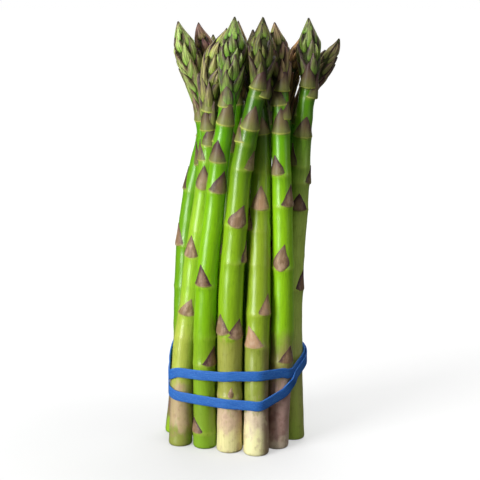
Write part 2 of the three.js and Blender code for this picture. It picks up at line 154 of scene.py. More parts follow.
# %% [markdown]
# ## Leaning the spears on each other
# In a tied bundle no two spears can be in the same place. Each drawn line is cut into levels, and at
# every level spears that overlap are pushed apart a little, many times over. The pushes are spread along
# each spear, so that it bends gently. It could be done with a physics simulation, but this gives the same
# result every time.

# %% The settled lines
TALLEST, LEVEL_COUNT = 225, 31
LEVELS = np.linspace(0, TALLEST, LEVEL_COUNT)
CLEARANCE, SETTLE_ROUNDS, SETTLE_STEP, SETTLE_SMOOTHING = 0.8, 260, 0.45, 0.2
FLAT_FOOT = 12


def settle(drawn, reach, ease):
    """Eases lines apart. Push at a level = step times overlap, along the line that joins two centres."""
    shifts = np.zeros_like(drawn)
    one, two = np.triu_indices(len(drawn), 1)
    give = np.stack([ease, np.ones_like(ease)], -1)[:, None, :]
    levels = np.arange(drawn.shape[1])
    before, after = np.maximum(levels - 1, 0), np.minimum(levels + 1, levels[-1])
    absent = (reach[one] < 0) | (reach[two] < 0)
    for _ in range(SETTLE_ROUNDS):
        lines = drawn + shifts
        apart = lines[one] - lines[two]
        distance = np.hypot(apart[..., 0], apart[..., 1])
        overlap = np.where(absent, 0, np.maximum(reach[one] + reach[two] + CLEARANCE - distance, 0))
        push = (SETTLE_STEP * overlap / distance)[..., None] * apart
        moves = np.zeros_like(shifts)
        np.add.at(moves, one, push)
        np.subtract.at(moves, two, push)
        spread = shifts[:, before] + shifts[:, after] - 2 * shifts
        shifts = shifts + SETTLE_SMOOTHING * spread + moves * give
    return drawn + shifts


held = [np.minimum(LEVELS, spear["tip"]) for spear in SPEARS]
drawn = np.stack([
    np.stack([smooth_at([*STATIONS, spear["tip"]], spear["x"], z),
              smooth_at([0, SHOULDER, spear["tip"]], spear["y"], z)], -1)
    for spear, z in zip(SPEARS, held)])
reach = np.stack([np.where(LEVELS <= spear["tip"], cover_radius(spear, LEVELS), -1) for spear in SPEARS])
settled = settle(drawn, reach, np.array([float(spear["ease"]) for spear in SPEARS])) - MIDDLE
for spear, line in zip(SPEARS, settled):
    spear["line"] = line
print("largest push:", round(float(np.abs(settled + MIDDLE - drawn).max()), 1), "mm")

# %% [markdown]
# ## Places on a spear
# Every point of a spear is named by three numbers: its height, its turn round the stem from the front,
# and its distance from the centre line. One function turns them into a place, so stems, scales and bracts
# fit each other.

# %% Places on a spear
def centre_at(spear, z):
    """The centre line's point at a height."""
    return np.stack([smooth_at(LEVELS, spear["line"][:, 0], z), smooth_at(LEVELS, spear["line"][:, 1], z),
                     np.asarray(z, float)], -1)


def unit(vectors):
    """The same directions with length one."""
    return vectors / np.linalg.norm(vectors, axis=-1, keepdims=True)


def spear_point(spear, z, turn, radius):
    """Centre line + right * radius * sin(turn) - back * radius * cos(turn), both square to the line.
    The foot's rings are level, so that the cut is flat, and above the tip the line goes straight on."""
    z, turn, radius = np.broadcast_arrays(z, turn, radius)
    tip = spear["tip"]
    low = np.minimum(z, tip)
    along = unit(centre_at(spear, np.minimum(low + 1, tip)) - centre_at(spear, np.maximum(low - 1, 0)))
    share = np.clip(z / FLAT_FOOT, 0, 1)[..., None]
    axis = unit((1 - share) * np.array([0, 0, 1.0]) + share * along)
    right = unit(np.array([1.0, 0, 0]) - axis * axis[..., :1])
    back = np.cross(axis, right)
    angle = np.radians(turn)
    return (centre_at(spear, low) + axis * (z - low)[..., None]
            + right * (radius * np.sin(angle))[..., None] - back * (radius * np.cos(angle))[..., None])


print("first foot:", np.round(centre_at(SPEARS[0], 0.0), 2))

# %% [markdown]
# ## Where the leaf scales sit
# The scales that the camera sees are listed in the plan. The rest follow the golden angle of 137.5
# degrees, as on a real spear, wherever there is room between the neighbours and clear of the band. A few
# more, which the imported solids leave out, are listed apart: a small one between the band's two turns, and
# those that close off three heads below. Each is given by its height, its turn from the front and its
# length.

# %% Where the leaf scales sit
SCALE_WIDTH, SCALE_LIFT, GOLDEN_ANGLE = 9.5, 0.9, 137.5
FREE_MARGIN, CROWDED, HIDDEN_FROM = 0.6, 0.55, 70
TURNED_BACK, TURNED_ASIDE = (0, 8, 16, 24, 32, 40), (0, 20, -20, 40, -40, 60, -60)
BAND_LOW, BAND_HIGH = 22, 58
EXTRA_SCALES = {6: [[30.5, 4, 5.5], [190, -2, 12], [186.5, 64, 11]],
                8: [[188, 14, 12], [181, -48, 11]],
                10: [[189.5, -16, 13], [184.5, 58, 12]]}


def is_free(spear, z, turn, length):
    """True where a scale would stay clear of every other spear."""
    half = math.degrees(SCALE_WIDTH / 2 / core_radius(spear, z, line_at))
    across, up = np.meshgrid([-1, -0.5, 0, 0.5, 1], [0, 0.5])
    lift = SCALE_LIFT * np.where(np.abs(across) == 1, 0.3, 1)
    height = z + up * length
    points = spear_point(spear, height, turn + across * half, core_radius(spear, height, line_at) + lift)
    for other in SPEARS:
        if other is spear:
            continue
        gap = np.linalg.norm(points - centre_at(other, points[..., 2]), axis=-1)
        if np.any((gap <= cover_radius(other, height) + FREE_MARGIN) & (height <= other["tip"])):
            return False
    return True


def scales_of(spear):
    """[height, turn, length] of each scale: the listed ones first, then golden-angle ones with room."""
    placed = []
    for z, turn, length in spear["scales"]:
        turns = [turn - np.sign(turn) * back for back in TURNED_BACK]
        placed += [[z, t, length] for t in turns if is_free(spear, z, t, length)][:1]
    neck = spear["tip"] - HEAD_LENGTH
    hidden_from = HIDDEN_FROM if spear["scales"] else 0
    z, k = 10.0 + spear["turn"] % 7, 0
    while z < neck - 2:
        spacing, length = 26 - 16 * z / neck, 10 + 2 * z / neck
        turn = (spear["turn"] + k * GOLDEN_ANGLE + 180) % 360 - 180
        spots = [turn + step for step in TURNED_ASIDE]
        spots = [t for t in spots if abs((t + 540) % 360 - 180) >= hidden_from]
        spots = [t for t in spots if is_free(spear, z, t, length)]
        in_band = z + length > BAND_LOW and z < BAND_HIGH
        crowded = any(abs(other[0] - z) < CROWDED * spacing for other in placed)
        if spots and not in_band and not crowded:
            placed.append([z, spots[0], length])
        z, k = z + spacing, k + 1
    placed += EXTRA_SCALES.get(spear["number"], [])
    return np.array(placed, float)


for number, spear in enumerate(SPEARS, start=1):
    spear["number"] = number
    spear["placed"] = scales_of(spear)
print("scales on each spear:", [len(spear["placed"]) for spear in SPEARS])

# %% [markdown]
# ## From grids to a mesh
# Each surface below is a closed tube: rings of points, one above the other, closed by a single point at
# each end. Many tubes of one kind are computed at once as one array, and one mesh gathers all the tubes
# of a spear. Numbers that the skin needs, such as how far up a leaf a point is, are kept on the mesh as
# attributes.

# %% From grids to a mesh
def closed(grid):
    """Vertices of tubes from (tube, row, column) grids whose first and last rows are single points."""
    body = grid[:, 1:-1].reshape(len(grid), -1, *grid.shape[3:])
    return np.concatenate([body, grid[:, :1, 0], grid[:, -1:, 0]], axis=1).reshape(-1, *grid.shape[3:])


def tube_faces(tubes, rows, columns):
    """Quads between neighbouring rings and triangles to the two end points, for many tubes in a row."""
    rings = rows - 2
    low = np.arange(rings - 1)[:, None] * columns
    here = np.arange(columns)[None, :]
    there = (here + 1) % columns
    corners = [low + here, low + there, low + columns + there, low + columns + here]
    quads = np.stack(corners, -1).reshape(-1, 4)
    here, there = here[0], there[0]
    foot, last = rings * columns, (rings - 1) * columns
    bottom = np.stack([there, here, np.full(columns, foot)], -1)
    top = np.stack([last + here, last + there, np.full(columns, foot + 1)], -1)
    starts = (np.arange(tubes) * (foot + 2))[:, None, None]
    return (starts + quads).reshape(-1, 4), (starts + np.concatenate([bottom, top])).reshape(-1, 3)


def add_object(name, data):
    """A new object in the scene, made from a mesh, a light or a camera."""
    made = bpy.data.objects.new(name, data)
    bpy.context.scene.collection.objects.link(made)
    return made


def add_mesh(name, points, faces, marks, material):
    """A smooth mesh object from points in mm and faces. Its marks are kept as attributes of the points."""
    mesh = bpy.data.meshes.new(name)
    mesh.from_pydata(points * MM, [], faces)
    for key, values in marks.items():
        kind, field = ("FLOAT_VECTOR", "vector") if values.ndim == 2 else ("FLOAT", "value")
        mesh.attributes.new(key, kind, "POINT").data.foreach_set(field, values.astype(np.float32).ravel())
    mesh.polygons.foreach_set("use_smooth", np.ones(len(faces), bool))
    mesh.materials.append(material)
    mesh.update()
    return add_object(name, mesh)


def add_spear(name, surfaces, material):
    """One mesh object from the (points, marks) grids of a spear's stem, scales and bracts."""
    points, faces, count = [], [], 0
    for grid, _ in surfaces:
        quads, triangles = tube_faces(*grid.shape[:3])
        points.append(closed(grid))
        faces += (quads + count).tolist() + (triangles + count).tolist()
        count += len(points[-1])
    marks = {key: np.concatenate([closed(part[key]) for _, part in surfaces]) for key in surfaces[0][1]}
    return add_mesh(name, np.concatenate(points), faces, marks, material)


def skin_marks(shape, kind, height, along, across, tone, lip, grain):
    """The marks of a surface, each spread over its whole grid. kind: 0 stem, 0.5 scale, 1 bract."""
    marks = {"kind": kind, "height": height, "along": along, "across": across, "tone": tone, "lip": lip}
    marks = {key: np.broadcast_to(value, shape) for key, value in marks.items()}
    return {**marks, "grain": np.stack([np.broadcast_to(part, shape) for part in grain], -1)}


print("faces of a small tube:", [len(part) for part in tube_faces(1, 5, 8)])

# %% [markdown]
# ## The stem
# A stem is a round rod with a flat cut at its foot and a slim core inside its head. It is a little oval
# and waves slightly in thickness. Where one joint of growth ends, under each scale, it swells to a soft
# knuckle with a low lip on it. It could be a curve with a bevel, but a formula puts the knuckles and lips
# where the scales are.

# %% The stem
STEM_COLUMNS, STEM_ROWS, HEAD_ROWS = 48, 170, 30
FOOT_PROFILE = [(0, 0), (0, 0.45), (0, 0.8), (0.12, 0.9), (0.42, 0.955), (0.85, 0.985)]
LIP_HEIGHT, LIP_SIZE, LIP_FAR = 0.9, 0.28, -0.1
KNUCKLE_HEIGHT, KNUCKLE_SIZE, KNUCKLE_FAR = 3.2, 0.3, 0.5
OVAL, SLOW_WAVE, SLOW_LENGTH, QUICK_WAVE, QUICK_LENGTH = 0.018, 0.01, 5.3, 0.006, 2.1


def ring_at(spear, z, turn, reach, far):
    """1 at each scale's base, less over the reach up and down, and only far on the stem's other side."""
    rings = np.zeros(np.broadcast(z, turn).shape)
    for height, facing, _ in spear["placed"]:
        round_it = (1 + far) / 2 + (1 - far) / 2 * np.cos(np.radians(turn - facing))
        rings = np.maximum(rings, np.exp(-((z - height + 0.3) / reach) ** 2) * np.clip(round_it, 0, 1))
    return rings


def pointed(spear, z):
    """Greatest radius near the tip: a blunt needle's."""
    return 0.3 + 0.46 * (spear["tip"] + 0.3 - z)


def skin_radius(spear, z, turn):
    """Core radius with a soft knuckle at each scale's base, all the way round the stem."""
    on_stem = np.clip((spear["tip"] - HEAD_LENGTH - z) / 4, 0, 1)
    knuckles = ring_at(spear, z, turn, KNUCKLE_HEIGHT, KNUCKLE_FAR)
    return core_radius(spear, z) + KNUCKLE_SIZE * knuckles * on_stem


def stem_surface(spear, phase):
    """Radius = skin radius * (1 + oval + waves) + lips, over a grid of height and turn."""
    tip = spear["tip"]
    neck = tip - HEAD_LENGTH
    body = np.concatenate([np.linspace(1.5, neck, STEM_ROWS), np.linspace(neck, tip, HEAD_ROWS)[1:]])
    z = np.concatenate([[height for height, _ in FOOT_PROFILE], body])[None, :, None]
    share = np.concatenate([[part for _, part in FOOT_PROFILE], np.ones(len(body) - 1), [0]])[None, :, None]
    turn = np.linspace(0, 360, STEM_COLUMNS, endpoint=False)[None, None, :]
    angle = np.radians(turn)
    oval = OVAL * np.cos(2 * np.radians(turn - phase))
    slow = SLOW_WAVE * np.sin(z / SLOW_LENGTH + phase)
    quick = QUICK_WAVE * np.sin(z / QUICK_LENGTH + angle * 2 + phase)
    lips = ring_at(spear, z, turn, LIP_HEIGHT, LIP_FAR)
    radius = skin_radius(spear, z, turn) * (1 + oval + slow + quick) + LIP_SIZE * lips * (z < neck)
    radius = np.minimum(radius, 0.75 * pointed(spear, z)) * share
    points = spear_point(spear, z, turn, radius)
    grain = (radius * np.sin(angle), -radius * np.cos(angle), z + 40 * phase)
    inside = np.clip((z - neck - 1) / 5, 0, 1)
    return points, skin_marks(points.shape[:3], 0, z / TALLEST, share, inside, 0.5, lips, grain)


print("stem grid:", stem_surface(SPEARS[0], 0.0)[0].shape)

# %% [markdown]
# ## A leaf's section
# Scales and bracts are leaves pressed against the spear. Walking round a leaf's section goes from the
# right edge over the front to the left edge, and back through the stem, where the leaf is rooted and
# nobody sees it.

# %% A leaf's section
FRONT = np.array([1, 0.98, 0.92, 0.8, 0.63, 0.42, 0.2, 0, -0.2, -0.42, -0.63, -0.8, -0.92, -0.98, -1])
BACK, BACK_DEPTH = np.array([-0.99, -0.85, -0.4, 0.4, 0.85, 0.99]), np.array([0.3, 1, 1, 1, 1, 0.3])
leaf_across = np.concatenate([FRONT, BACK])[None, None, :]
leaf_front = np.concatenate([1 - np.abs(FRONT) ** 1.7, 0 * BACK])[None, None, :]
leaf_back = np.concatenate([0 * FRONT, BACK_DEPTH])[None, None, :]


def leaf_lift(rim, crown, root):
    """Distance off the stem: rim at the edges, crown in the middle of the front, -root behind."""
    return rim + (crown - rim) * leaf_front - (rim + root) * leaf_back


def leaf_surface(grid, ends, kind, height, up, tone, half, length):
    """The grid of many leaves with its first and last rows drawn together into the two ends, and its marks.
    half is a leaf's half width there in mm."""
    grid = grid.copy()
    grid[:, 0], grid[:, -1] = ends[0][:, None], ends[1][:, None]
    grain = (leaf_across * half, tone * 50, up * length)
    middle_out = np.abs(leaf_across)
    return grid, skin_marks(grid.shape[:3], kind, height / TALLEST, up, middle_out, tone, 0, grain)


print("points round a leaf:", leaf_across.size)

# %% [markdown]
# ## The scales of the stem
# A scale is a papery triangle whose base stands off the stem as a small ledge. The base is bowed, the
# point leans to one side, and near the head the scales are wider. Those that show from the front have
# their own shapes, listed by spear and height: the width against the usual one, the bow of the base, the
# lean of the point in degrees, how far the outline is a triangle (1) or a teardrop (0), and how dark the
# scale is. The others draw theirs at random from a seed, so that they come out the same each time.

# %% The scales of the stem
SCALE_UP = np.array([0, 0, 0.012, 0.04, 0.1, 0.18, 0.27, 0.36, 0.45, 0.54, 0.63, 0.72, 0.8, 0.87,
                     0.93, 0.97, 1])
SHAPED_SCALES = {
    (2, 138): (1.0, 0.14, 0, 0.3, 0.5), (2, 102): (0.95, 0.1, -6, 0.8, 0.1),
    (2, 71): (1.0, 0.12, 22, 1, -0.3), (4, 172): (1.0, 0.1, 8, 1, 0.4),
    (4, 138): (1.15, 0.14, 18, 0.9, 0.9), (4, 89): (1.0, 0.08, -16, 1, 0.8),
    (4, 46.5): (1.1, 0.1, 16, 1, 1), (4, 9): (1.1, 0.08, -14, 1, 0.6),
    # Spear 6's scales at 190 and 186.5 mm are darker partly as painted shade under its head.
    (6, 190): (0.8, 0.06, 14, 1, 1.2), (6, 186.5): (0.6, 0.06, 8, 1, 1.2),
    (6, 170): (1.0, 0.1, 6, 1, 0.4), (6, 121): (1.2, 0.16, 30, 0.3, 0.3),
    (6, 64.5): (1.2, 0.2, 2, 0.9, 0.3), (6, 62.5): (1.15, 0.2, 14, 0.9, 0.5),
    (6, 30.5): (0.36, 0.1, 4, 0.2, -1.2), (7, 128): (1.1, 0.1, 0, 0.7, 0.3),
    (7, 74): (1.0, 0.08, 10, 1, 0.4), (7, 57): (1.2, 0.12, -24, 1, -0.2),
    (8, 188): (0.7, 0.06, 4, 1, 0.9), (8, 167): (1.0, 0.1, 0, 1, 0.4),
    (8, 130): (1.1, 0.1, 12, 0.8, 0.7), (8, 97.5): (1.05, 0.16, 22, 0, 0.2),
    (8, 47.5): (1.0, 0.1, 14, 0.9, 0.6), (10, 189.5): (0.85, 0.06, 10, 1, 0.8),
    (10, 184.5): (0.7, 0.06, 4, 1, 0.8), (10, 126): (1.0, 0.1, 0, 0.9, 1),
    (10, 83.5): (1.0, 0.1, 12, 0.9, 1)}
SHAPES_FROM, SHAPES_TO = [0.85, 0.04, -12, 0.3, 0], [1.1, 0.16, 12, 1, 1]
TRIANGLES_ABOVE, SCALE_ROOT, SCALE_TIP_LIFT, RAGGED = 160, 1.4, 0.36, 0.06
TRIANGLE, TEARDROP = [1.16, 0.94, 0.66, 0.3, 0], [0.66, 0.9, 0.86, 0.4, 0]


def scale_surface(spear, rng):
    """Half width = base * w(up), lift = rim to crown(up), on a grid of up and round, for all scales."""
    z, turn, length = (column[:, None, None] for column in spear["placed"].T)
    up = SCALE_UP[None, :, None]
    drawn_shapes = rng.uniform(SHAPES_FROM, SHAPES_TO, (len(z), len(SHAPES_TO)))
    shapes = [SHAPED_SCALES.get((spear["number"], low), tuple(row))
              for low, row in zip(z[:, 0, 0], drawn_shapes)]
    wide, bow, lean, square, tone = (column[:, None, None] for column in np.array(shapes).T)
    width = SCALE_WIDTH * wide * line_at([0, 130, 168, 225], [1, 1.02, 1.28, 1.3], z)
    square = np.maximum(square, z > TRIANGLES_ABOVE)
    outline = (square * smooth_at([0, 0.1, 0.4, 0.75, 1], TRIANGLE, up)
               + (1 - square) * smooth_at([0, 0.1, 0.35, 0.7, 1], TEARDROP, up))
    ragged = 1 + RAGGED * np.sin(11 * up + 40 * tone + 2 * leaf_across) * up
    half = np.degrees(width / 2 / core_radius(spear, z)) * outline * ragged
    full = SCALE_LIFT * line_at([0, 120, 170, 182, 186], [0.65, 0.7, 0.95, 0.95, 2.6], z)
    crown = full * smooth_at([0, 0.05, 0.42, 0.8, 1], [0.8, 1.0, 0.92, 0.55, 0.4], up)
    rim = full * smooth_at([0, 0.6, 1], [0.2, 0.18, 0.4], up)
    lift = leaf_lift(rim, crown, SCALE_ROOT)
    height = z + length * (up + bow * (leaf_across ** 2 - 0.6) * (1 - up) ** 2)
    facing = turn + leaf_across * half + lean * up ** 2
    points = spear_point(spear, height, facing, skin_radius(spear, height, facing) + lift)
    low, high = z[:, 0, 0], (z + length)[:, 0, 0]
    root = spear_point(spear, low + 0.3, turn[:, 0, 0], core_radius(spear, low) - SCALE_ROOT)
    point = spear_point(spear, high, (turn + lean)[:, 0, 0], core_radius(spear, high) + SCALE_TIP_LIFT)
    return leaf_surface(points, [root, point], 0.5, height, up, tone, half * 0.1, length)


print("scale grid:", scale_surface(SPEARS[0], np.random.default_rng(1))[0].shape)

# %% [markdown]
# ## The bracts of the head
# A head is a growing tip wrapped in overlapping bracts, fat and pointed, the lowest ones longest. Each
# sits a golden angle further round than the one below it, so a bract is told by its step along that
# spiral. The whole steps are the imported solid's bracts. The halves between them are a second, lower row,
# and a small green bud looks out over each bract's point. The step of each head's lowest bract is listed:
# below 0 it sits loose on the neck, and above 0 the head starts higher, over a scale that closes it off.

# %% The bracts of the head
BRACTS, BRACT_START, BRACT_SPAN, BRACT_CROWDING = 13, -0.06, 0.835, 1.15
BRACT_UP = np.array([0, 0.02, 0.06, 0.12, 0.2, 0.29, 0.38, 0.47, 0.56, 0.65, 0.74, 0.82, 0.89, 0.95, 1])
LOWEST_BRACTS = [-1.6, -3.2, -3.2, -1.6, -1.6, 3, -0.8, 3, -1.6, 3, -1.6, -1.6, -1.6, -1.6]
LOOSE_STEP, LOOSE_SPACING, TIP_STEPS = 0.8, 0.085, [12.3, 12.7, 13.1, 13.5]
BRACT_LENGTH, BRACT_SHORTER, BRACT_WIDTH, BRACT_SLIMMER = 14.5, 6.6, 1.16, 0.36
BUD_TURN, BUD_RISE, BUD_SHORTER, BUD_SLIMMER, BUD_FATTER, BUD_PALER = 12, 0.5, 0.35, 0.38, 0.22, 0.7
TURN_SPREAD, LEAN_SPREAD, FLATTER_BETWEEN, OPENING = 14, 16, 0.22, 0.5


def bract_surface(spear, rng):
    """Half width = w(up), lift = rim to crown(up), on a grid of up and round, for all bracts of a head.
    A bud has its bract's turn, starts part of the way up it, and is shorter, narrower and fatter."""
    lowest = LOWEST_BRACTS[spear["number"] - 1]
    loose = np.arange(lowest, 0, LOOSE_STEP)
    leaves = np.concatenate([loose, np.arange(2 * max(lowest, 0), 2 * BRACTS - 1) / 2, TIP_STEPS])
    buds = np.arange(max(lowest, 0), BRACTS - 2)
    step = np.concatenate([leaves, buds])[:, None, None]
    is_bud = (np.arange(len(step)) >= len(leaves))[:, None, None].astype(float)
    between = (np.abs(step - np.round(step)) > 0.1).astype(float)
    share = BRACT_START + BRACT_SPAN * (np.maximum(step, 0) / (BRACTS - 1)) ** BRACT_CROWDING
    share = share + np.minimum(step, 0) * LOOSE_SPACING
    turn = spear["turn"] + step * GOLDEN_ANGLE + rng.uniform(-TURN_SPREAD, TURN_SPREAD, step.shape)
    turn = turn + is_bud * BUD_TURN
    full = (BRACT_LENGTH - BRACT_SHORTER * share) * rng.uniform(0.8, 1.12, step.shape)
    z = spear["tip"] - HEAD_LENGTH + share * HEAD_LENGTH + BUD_RISE * is_bud * full
    length = np.minimum(full * (1 - BUD_SHORTER * is_bud), spear["tip"] + 0.3 - z)
    width = spear["head"] * (BRACT_WIDTH - BRACT_SLIMMER * share) * rng.uniform(0.82, 1.1, step.shape)
    width = width * (1 - BUD_SLIMMER * is_bud) * line_at([0, 0.7, 0.9], [1, 1, 0.7], share)
    lift = spear["head"] * np.minimum(0.4 - 0.12 * share, 0.42 + 0.05 * step)
    lift = lift * (1 - FLATTER_BETWEEN * between)
    tone = rng.uniform(0, 1, step.shape) - BUD_PALER * is_bud
    up = BRACT_UP[None, :, None]
    opened = OPENING * rng.uniform(0, 1, step.shape) ** 2 * (1 - is_bud) * up ** 3
    crown = (smooth_at([0, 0.3, 0.7, 1], [0.15, 0.6, 0.98, 0.98], up) + opened) * lift
    crown = crown * (1 + BUD_FATTER * is_bud * (1 - up ** 2))
    rim = (smooth_at([0, 0.3, 0.7, 1], [0.05, 0.24, 0.6, 0.88], up) + opened) * lift
    height = z + up * length
    core = core_radius(spear, np.minimum(height, spear["tip"]))
    root = np.minimum(1.6, 0.8 * core)
    radius = np.minimum(core + leaf_lift(rim, crown, root), pointed(spear, height))
    outline = smooth_at([0, 0.06, 0.24, 0.5, 0.78, 1], [0, 0.66, 1, 0.84, 0.4, 0], up)
    half = np.degrees(width / 2 / np.maximum(radius, 1.6)) * outline
    lean = rng.uniform(-LEAN_SPREAD, LEAN_SPREAD, step.shape)
    points = spear_point(spear, height, turn + leaf_across * half + lean * up ** 2, radius)
    ends = [points[:, 0].mean(1), points[:, -1, :len(FRONT)].mean(1)]
    return leaf_surface(points, ends, 1, height, up, tone, width * outline / 2, length)


print("bract grid:", bract_surface(SPEARS[0], np.random.default_rng(1))[0].shape)

# %% [markdown]
# ## Shader maths as expressions
# A material is a tree of small nodes. Writing `1 - mask * 0.5` is easier to read than four nodes and
# their links, so one class wraps a node's output and adds the Math nodes itself. Any other node comes
# from one method.

# %% Shader maths as expressions
class Signal:
    """One output of a shader node. Arithmetic on it adds Math nodes to its tree."""

    def __init__(self, shader, socket):
        self.shader, self.socket = shader, socket

    def math(self, operation, a, b):
        return self.shader.node("ShaderNodeMath", {"operation": operation}, {0: a, 1: b})

    def __add__(self, other):
        return self.math("ADD", self, other)

    def __sub__(self, other):
        return self.math("SUBTRACT", self, other)

    def __rsub__(self, other):
        return self.math("SUBTRACT", other, self)

    def __mul__(self, other):
        return self.math("MULTIPLY", self, other)

    def larger(self, other):
        return self.math("MAXIMUM", self, other)

    __radd__, __rmul__ = __add__, __mul__


class Shader:
    """The nodes of a material or a world. node() adds any node: its settings first, then its socket values
    or links. main is the node that it already has, and constants are that node's plain values."""

    def __init__(self, owner, main, constants):
        owner.use_nodes = True
        self.owner, self.tree = owner, owner.node_tree
        self.main = self.tree.nodes[main]
        self.set(self.main, constants)

    def set(self, node, values):
        """Links each signal to its socket and writes each plain value into it."""
        for key, value in values.items():
            if isinstance(value, Signal):
                self.tree.links.new(value.socket, node.inputs[key])
            else:
                node.inputs[key].default_value = value

    def node(self, kind, settings, values, output=0):
        """Adds a node and gives one of its outputs."""
        made = self.tree.nodes.new(kind)
        for key, value in settings.items():
            setattr(made, key, value)
        self.set(made, values)
        return Signal(self, made.outputs[output])

    def attribute(self, name, output="Fac"):
        """A number or vector that the mesh carries at its points."""
        return self.node("ShaderNodeAttribute", {"attribute_name": name}, {}, output)

    def mix(self, factor, a, b):
        """Colour a, run over to colour b by the factor."""
        return self.node("ShaderNodeMix", {"data_type": "RGBA"}, {0: factor, 6: a, 7: b}, 2)

    def tint(self, factor, a, b):
        """Colour a multiplied by colour b, by the factor."""
        settings = {"data_type": "RGBA", "blend_type": "MULTIPLY"}
        return self.node("ShaderNodeMix", settings, {0: factor, 6: a, 7: b}, 2)

    def ease(self, value, low, high):
        """0 below low, 1 above high, and a smooth step between them."""
        return self.node("ShaderNodeMapRange", {"interpolation_type": "SMOOTHSTEP"},
                         {"Value": value, "From Min": low, "From Max": high})

    def noise(self, vector, stretch, scale, detail=3.0):
        """Soft noise of the vector after each of its parts is multiplied by stretch."""
        place = self.node("ShaderNodeVectorMath", {"operation": "MULTIPLY"}, {0: vector, 1: stretch})
        return self.node("ShaderNodeTexNoise", {}, {"Vector": place, "Scale": scale, "Detail": detail})

    def bump(self, height, strength, distance):
        """Normals of a surface raised by height times distance, in metres."""
        values = {"Height": height, "Strength": strength, "Distance": distance}
        return self.node("ShaderNodeBump", {}, values)


def new_material(name, constants):
    """The shader of a new material, whose main node is the Principled one."""
    return Shader(bpy.data.materials.new(name), "Principled BSDF", constants)


def colour(red, green, blue):
    """A screen colour of 0 to 255 a channel as the linear colour that shaders use."""
    parts = np.array([red, green, blue]) / 255
    linear = np.where(parts <= 0.04045, parts / 12.92, ((parts + 0.055) / 1.055) ** 2.4)
    return (*(float(part) for part in linear), 1.0)


print("leaf green in linear light:", [round(part, 3) for part in colour(125, 185, 35)])

# %% [markdown]
# ## The skin of a spear
# The stem is waxy and bright green, paler and pinker where it was cut near the ground, with fine fibres
# along it, and fine pores that break up its shine. Some cut ends are bruised, and low down some stems are
# brown on their right side, darkened further there as painted shade. Scales and bracts are drier: olive
# in the middle, with purple-brown edges and points and a pale yellow base. Painted shade darkens each
# bract's base and outlines its edges, and the head's core between the bracts is a dark olive that is
# partly painted shade. It could be painted by hand, but soft noise and the marks that the mesh carries do
# it for all the spears at once. Each spear has its own colours, because no two in a bundle ripened alike,
# though the darker top green of spears 6 and 7 is painted shade and the paler greens of spear 10 are
# painted light.

# %% The skin of a spear
# The second colour is the head's core between the bracts: partly its own dark olive, partly painted shade.
LEDGE, SHADED_CORE = colour(196, 204, 92), colour(58, 66, 24)
# The first colour is a brown for the stem's right side low down, darker than its own brown as painted shade.
BROWNED_AND_SHADED, BRUISED, FADED = colour(134, 98, 80), colour(168, 124, 112), colour(196, 166, 138)
YOUNG_SCALE, YOUNG_BASE = colour(96, 102, 54), colour(132, 152, 62)


